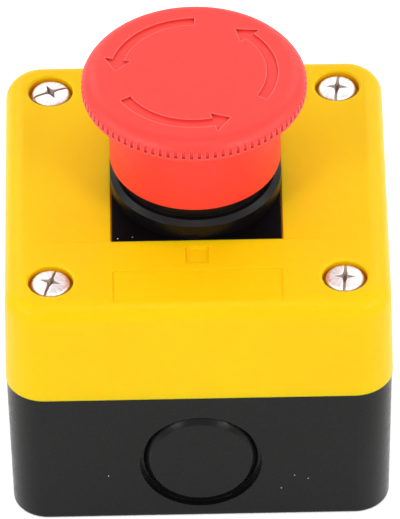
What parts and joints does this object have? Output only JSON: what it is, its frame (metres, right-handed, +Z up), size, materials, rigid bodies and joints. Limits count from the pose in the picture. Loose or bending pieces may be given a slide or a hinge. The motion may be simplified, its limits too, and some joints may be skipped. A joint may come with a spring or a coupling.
{
  "type": "emergency stop push button",
  "caption": "Mushroom push button on a small two-part surface box with a square collar plate, corner cover screws and a cable knock-out.",
  "frame": {"origin": "centre of the box's underside, on the button's axis", "axes": "+Z up along the button's axis, -Y the front with the visible knock-out, +X to its right"},
  "size_m": [0.069, 0.069, 0.0764],
  "materials": {
    "base_plastic": "satin",
    "cover_plastic": "semi gloss, slightly translucent",
    "head_plastic": "satin",
    "operator_plastic": "satin",
    "seal_rubber": "matt",
    "plated_steel": "bright zinc plated",
    "spring_steel": "drawn wire",
    "stem_plastic": "natural, satin",
    "block_plastic": "satin",
    "closed_plastic": "satin",
    "open_plastic": "satin",
    "contact_brass": "rolled"
  },
  "bodies": {
    "box": {"base_box": "base_plastic", "cover": "cover_plastic", "cover_seal": "seal_rubber", "cover_screws": "plated_steel", "bezel_plate": "operator_plastic", "panel_gasket": "seal_rubber", "operator_body": "operator_plastic", "clamp_nut": "operator_plastic", "wiper_seal": "seal_rubber", "latch_ring_spring": "spring_steel", "return_spring": "spring_steel", "contact_carrier": "block_plastic", "carrier_screws": "plated_steel", "nc_housing": "block_plastic", "nc_plunger_spring": "spring_steel", "nc_terminal_front": "contact_brass", "nc_terminal_rear": "contact_brass", "nc_terminal_screws": "plated_steel", "no_housing": "block_plastic", "no_plunger_spring": "spring_steel", "no_terminal_front": "contact_brass", "no_terminal_rear": "contact_brass", "no_terminal_screws": "plated_steel"},
    "stem": {"push_stem": "stem_plastic", "stem_foot": "stem_plastic", "foot_screw": "plated_steel", "head_clip": "spring_steel", "twist_spring": "spring_steel"},
    "head": {"mushroom_head": "head_plastic"},
    "pin_left": {"latch_pin_left": "plated_steel"},
    "pin_right": {"latch_pin_right": "plated_steel"},
    "closed_plunger": {"nc_plunger": "closed_plastic", "nc_bridge": "contact_brass", "nc_contact_spring": "spring_steel"},
    "open_plunger": {"no_plunger": "open_plastic", "no_contact_spring": "spring_steel"},
    "open_bridge": {"no_bridge": "contact_brass"}
  },
  "joints": [
    {"name": "head_press", "type": "slide", "parent": "box", "child": "stem", "axis": [0, 0, -1], "range_m": [0, 0.003], "stiffness_N_per_m": 900, "springref_m": -0.005, "deforming": ["return_spring"]},
    {"name": "head_twist", "type": "hinge", "parent": "stem", "child": "head", "pos_m": [0, 0, 0.0652], "axis": [0, 0, 1], "range_deg": [0, 30], "stiffness_Nm_per_rad": 0.25, "springref_deg": -20.05, "deforming": ["twist_spring"]},
    {"name": "pin_left_slide", "type": "slide", "parent": "box", "child": "pin_left", "axis": [1, 0, 0], "range_m": [0, 0.0008]},
    {"name": "pin_right_slide", "type": "slide", "parent": "box", "child": "pin_right", "axis": [-1, 0, 0], "range_m": [0, 0.0008]},
    {"name": "closed_plunger_slide", "type": "slide", "parent": "box", "child": "closed_plunger", "axis": [0, 0, -1], "range_m": [0, 0.003], "stiffness_N_per_m": 250, "springref_m": -0.002, "deforming": ["nc_plunger_spring"]},
    {"name": "open_plunger_slide", "type": "slide", "parent": "box", "child": "open_plunger", "axis": [0, 0, -1], "range_m": [0, 0.003], "stiffness_N_per_m": 250, "springref_m": -0.002, "deforming": ["no_plunger_spring"]},
    {"name": "open_bridge_slide", "type": "slide", "parent": "box", "child": "open_bridge", "axis": [0, 0, -1], "range_m": [0, 0.0021], "deforming": ["no_contact_spring"]}
  ],
  "couplings": [
    {"joint": "pin_left_slide", "follows": "head_press", "ratio": 0.26667},
    {"joint": "pin_right_slide", "follows": "head_press", "ratio": 0.26667},
    {"joint": "closed_plunger_slide", "follows": "head_press", "ratio": 1},
    {"joint": "open_plunger_slide", "follows": "head_press", "ratio": 1},
    {"joint": "open_bridge_slide", "follows": "head_press", "ratio": 0.7}
  ]
}
